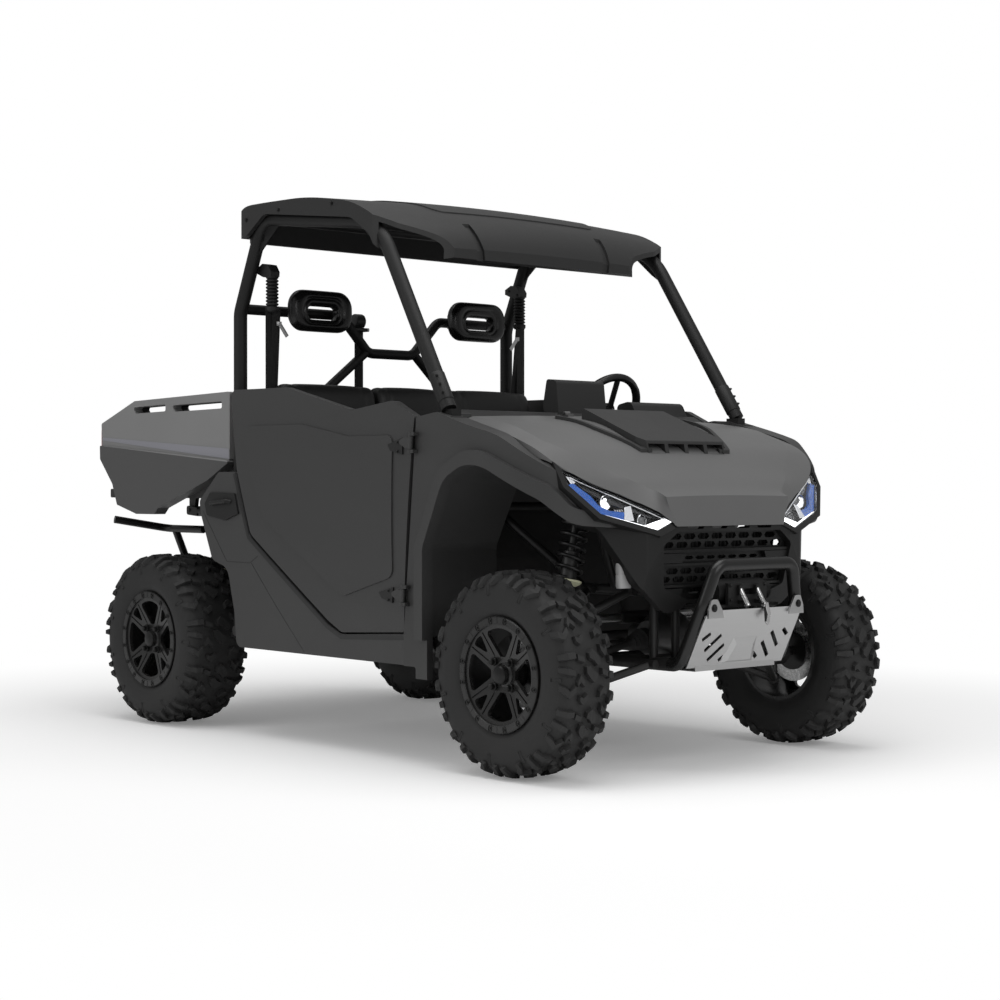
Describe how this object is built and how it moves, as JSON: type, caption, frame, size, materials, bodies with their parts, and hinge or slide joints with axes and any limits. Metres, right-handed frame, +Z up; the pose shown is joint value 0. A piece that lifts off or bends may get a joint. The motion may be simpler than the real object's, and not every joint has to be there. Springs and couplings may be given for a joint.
{
  "type": "side-by-side utility vehicle",
  "caption": "Side-by-side utility vehicle with a roofed roll cage, half doors, bench seating, tilting cargo bed with drop tailgate, steered front wheels and a front bumper loop with winch.",
  "frame": {"origin": "on the floor, under the middle of the overall length and width", "axes": "+X forward, +Y to the vehicle's left, +Z up"},
  "size_m": [3.05, 1.629, 2.034],
  "materials": {
    "frame_black": "satin",
    "cage_black": "satin",
    "floor_plastic": "grained",
    "roof_plastic": "satin grain",
    "soft_black": "soft",
    "belt_black": "woven",
    "seat_vinyl": "grained vinyl",
    "dash_plastic": "grained",
    "panel_dark": "fine grain",
    "hood_grey": "satin",
    "lamp_clear": "clear",
    "lamp_red": "gloss",
    "trim_black": "satin",
    "bar_black": "gloss",
    "bright_plate": "brushed",
    "engine_metal": "cast",
    "steel_bright": "brushed",
    "cast_dark": "cast",
    "rubber_black": "matte",
    "bed_plastic": "grained",
    "bed_panel": "satin",
    "tyre": "moulded",
    "rim_black": "satin black"
  },
  "bodies": {
    "chassis": {"frame": "frame_black", "floor_pan": "floor_plastic", "roll_cage": "cage_black", "roof": "roof_plastic", "headrests": "soft_black", "seat_belts": "belt_black", "seats": "seat_vinyl", "seat_box": "floor_plastic", "dash": "dash_plastic", "steering_column": "dash_plastic", "front_fenders": "panel_dark", "side_panels": "panel_dark", "headlights": "lamp_clear", "front_fascia": "trim_black", "bumper_loop": "bar_black", "skid_plate": "bright_plate", "winch": "trim_black", "engine": "engine_metal", "gearboxes": "engine_metal", "muffler": "steel_bright", "suspension_arms": "frame_black", "shocks": "frame_black", "rear_knuckles": "cast_dark", "half_shafts": "rubber_black", "rear_bumper": "bar_black"},
    "hood": {"hood": "hood_grey", "hood_scoop": "panel_dark"},
    "door_left": {"door_left": "panel_dark"},
    "door_right": {"door_right": "panel_dark"},
    "bed": {"bed_tub": "bed_plastic", "bed_sides": "bed_panel", "tail_lamps": "lamp_red"},
    "tailgate": {"tailgate": "bed_panel"},
    "steering_wheel": {"steering_wheel": "soft_black"},
    "steering_rack": {"steering_rack": "steel_bright"},
    "knuckle_left": {"knuckle_left": "cast_dark"},
    "knuckle_right": {"knuckle_right": "cast_dark"},
    "wheel_front_left": {"tyre_front_left": "tyre", "rim_front_left": "rim_black"},
    "wheel_front_right": {"tyre_front_right": "tyre", "rim_front_right": "rim_black"},
    "wheel_rear_left": {"tyre_rear_left": "tyre", "rim_rear_left": "rim_black"},
    "wheel_rear_right": {"tyre_rear_right": "tyre", "rim_rear_right": "rim_black"}
  },
  "joints": [
    {"name": "steer_left", "type": "hinge", "parent": "chassis", "child": "knuckle_left", "pos_m": [1.094, 0.575, 0.341], "axis": [0, 0, 1], "range_deg": [-30, 30]},
    {"name": "spin_front_left", "type": "hinge", "parent": "knuckle_left", "child": "wheel_front_left", "pos_m": [1.094, 0.6835, 0.341], "axis": [0, 1, 0], "continuous": true},
    {"name": "spin_rear_left", "type": "hinge", "parent": "chassis", "child": "wheel_rear_left", "pos_m": [-0.994, 0.6755, 0.341], "axis": [0, 1, 0], "continuous": true},
    {"name": "steer_right", "type": "hinge", "parent": "chassis", "child": "knuckle_right", "pos_m": [1.094, -0.575, 0.341], "axis": [0, 0, 1], "range_deg": [-30, 30]},
    {"name": "spin_front_right", "type": "hinge", "parent": "knuckle_right", "child": "wheel_front_right", "pos_m": [1.094, -0.6835, 0.341], "axis": [0, 1, 0], "continuous": true},
    {"name": "spin_rear_right", "type": "hinge", "parent": "chassis", "child": "wheel_rear_right", "pos_m": [-0.994, -0.6755, 0.341], "axis": [0, 1, 0], "continuous": true},
    {"name": "steering_wheel_turn", "type": "hinge", "parent": "chassis", "child": "steering_wheel", "pos_m": [0.38, 0.4, 1.235], "axis": [-0.866, 0, 0.5], "range_deg": [-270, 270]},
    {"name": "rack_slide", "type": "slide", "parent": "chassis", "child": "steering_rack", "axis": [0, -1, 0], "range_m": [-0.06, 0.06]},
    {"name": "door_right_swing", "type": "hinge", "parent": "chassis", "child": "door_right", "pos_m": [0.587, -0.776, 0.578], "axis": [0.0818, 0, 0.9966], "range_deg": [0, 70]},
    {"name": "door_left_swing", "type": "hinge", "parent": "chassis", "child": "door_left", "pos_m": [0.587, 0.776, 0.578], "axis": [-0.0818, 0, -0.9966], "range_deg": [0, 70]},
    {"name": "hood_lift", "type": "hinge", "parent": "chassis", "child": "hood", "pos_m": [0.767, 0, 1.212], "axis": [0, -1, 0], "range_deg": [0, 45]},
    {"name": "bed_tilt", "type": "hinge", "parent": "chassis", "child": "bed", "pos_m": [-1.44, 0, 0.85], "axis": [0, -1, 0], "range_deg": [0, 40]},
    {"name": "tailgate_drop", "type": "hinge", "parent": "bed", "child": "tailgate", "pos_m": [-1.5, 0, 0.923], "axis": [0, -1, 0], "range_deg": [0, 90]}
  ],
  "couplings": [
    {"joint": "steer_left", "follows": "steer_right", "ratio": 1},
    {"joint": "steering_wheel_turn", "follows": "steer_right", "ratio": 9},
    {"joint": "rack_slide", "follows": "steer_right", "m_per_rad": 0.10504}
  ]
}
